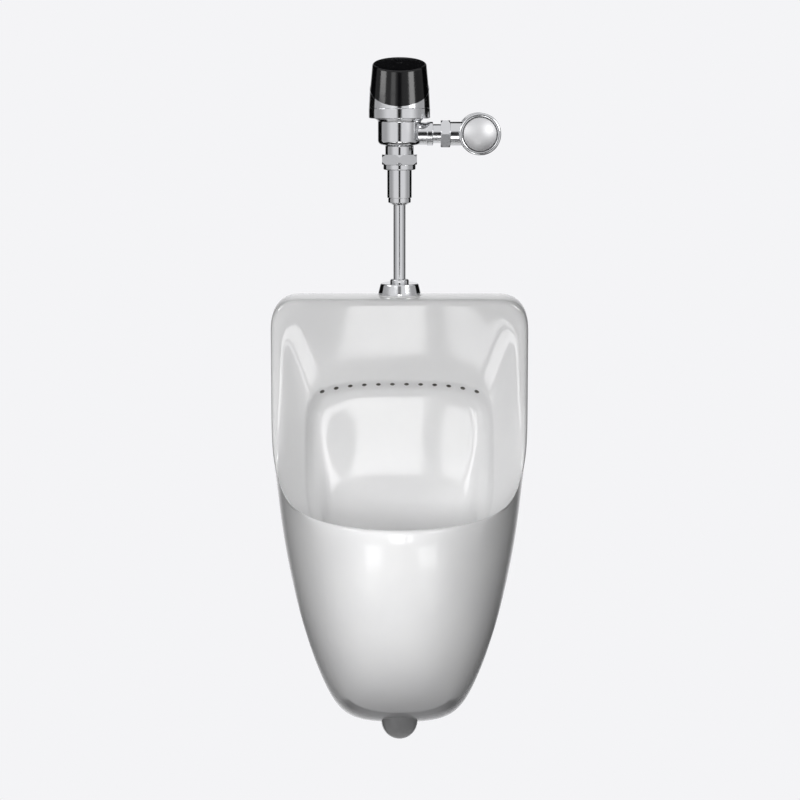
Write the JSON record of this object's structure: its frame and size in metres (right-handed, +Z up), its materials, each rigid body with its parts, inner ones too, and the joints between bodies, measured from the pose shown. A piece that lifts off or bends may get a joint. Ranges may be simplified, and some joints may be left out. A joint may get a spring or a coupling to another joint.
{
  "type": "wall-hung urinal",
  "caption": "Wall-hung china washdown urinal with rounded lip, tall shield and integral trap, topped by an exposed chromed sensor flush valve with a control stop.",
  "frame": {"origin": "centre of the waste outlet on the wall plane", "axes": "+X to the right seen from the front, +Y into the wall, +Z up"},
  "size_m": [0.406, 0.3553, 1.0732],
  "materials": {
    "china": "gloss",
    "chrome": "polished",
    "satin_chrome": "satin",
    "brass": "satin",
    "black_lens": "gloss",
    "rubber": "matte",
    "steel": "satin",
    "black_plastic": "matte",
    "white_plastic": "satin",
    "clear_plastic": "gloss",
    "battery_wrap": "satin",
    "board": "satin"
  },
  "bodies": {
    "fixture": {"china_bowl": "china", "slip_nut": "chrome", "bell_flange": "chrome", "flush_tube": "chrome", "vacuum_breaker_housing": "chrome", "coupling_nut": "chrome", "valve_body": "chrome", "locking_ring": "chrome", "head_cover": "chrome", "tailpiece": "chrome", "tail_nut": "chrome", "stop_body": "chrome", "stop_bonnet": "chrome", "cover_tube": "chrome", "wall_flange": "chrome", "spud_body": "brass", "spud_locknut": "brass", "outlet_flange": "brass", "supply_adapter": "brass", "tail_lock_ring": "brass", "lens_window": "black_lens", "outlet_gasket": "rubber", "spud_gasket": "rubber", "slip_gasket": "rubber", "vacuum_breaker_sack": "rubber", "coupling_gasket": "rubber", "diaphragm": "rubber", "tail_o_ring": "rubber", "drain_strainer": "steel", "outlet_bolts": "steel", "outlet_washers": "steel", "outlet_nuts": "steel", "wall_hanger_left": "steel", "wall_hanger_right": "steel", "spud_washer": "steel", "cover_screws": "steel", "solenoid_spring": "steel", "button_spring": "steel", "stop_spring": "steel", "flange_set_screw": "steel", "inner_cover": "black_plastic", "chassis": "black_plastic", "sensor_module": "black_plastic", "solenoid": "black_plastic", "vacuum_breaker_insert": "white_plastic", "sensor_eyes": "clear_plastic", "batteries": "battery_wrap", "circuit_board": "board"},
    "button": {"override_button": "black_lens"},
    "cap": {"stop_cap": "satin_chrome"},
    "screw": {"stop_screw": "brass"},
    "piston": {"stop_piston": "brass", "stop_seat_washer": "rubber"},
    "guide": {"diaphragm_guide": "white_plastic", "relief_disc": "white_plastic"},
    "plunger": {"solenoid_plunger": "steel"}
  },
  "joints": [
    {"name": "override_button_press", "type": "slide", "parent": "fixture", "child": "button", "axis": [0, 0, -1], "range_m": [0, 0.002], "stiffness_N_per_m": 800, "springref_m": -0.002, "deforming": ["button_spring"]},
    {"name": "stop_cap_spin", "type": "hinge", "parent": "fixture", "child": "cap", "pos_m": [0.125, -0.1, 0.832], "axis": [0, -1, 0], "continuous": true},
    {"name": "stop_screw_turn", "type": "hinge", "parent": "fixture", "child": "screw", "pos_m": [0.125, -0.1, 0.832], "axis": [0, 1, 0], "range_deg": [0, 1200]},
    {"name": "stop_piston_slide", "type": "slide", "parent": "fixture", "child": "piston", "axis": [0, 1, 0], "range_m": [0, 0.005], "deforming": ["stop_spring"]},
    {"name": "diaphragm_lift", "type": "slide", "parent": "fixture", "child": "guide", "axis": [0, 0, 1], "range_m": [0, 0.006], "stiffness_N_per_m": 200, "springref_m": -0.002, "deforming": ["diaphragm"]},
    {"name": "solenoid_plunger_lift", "type": "slide", "parent": "fixture", "child": "plunger", "axis": [0, 0, 1], "range_m": [0, 0.0015], "stiffness_N_per_m": 400, "springref_m": -0.002, "deforming": ["solenoid_spring"]}
  ],
  "couplings": [
    {"joint": "stop_screw_turn", "follows": "stop_piston_slide", "rad_per_m": 4188.4}
  ]
}
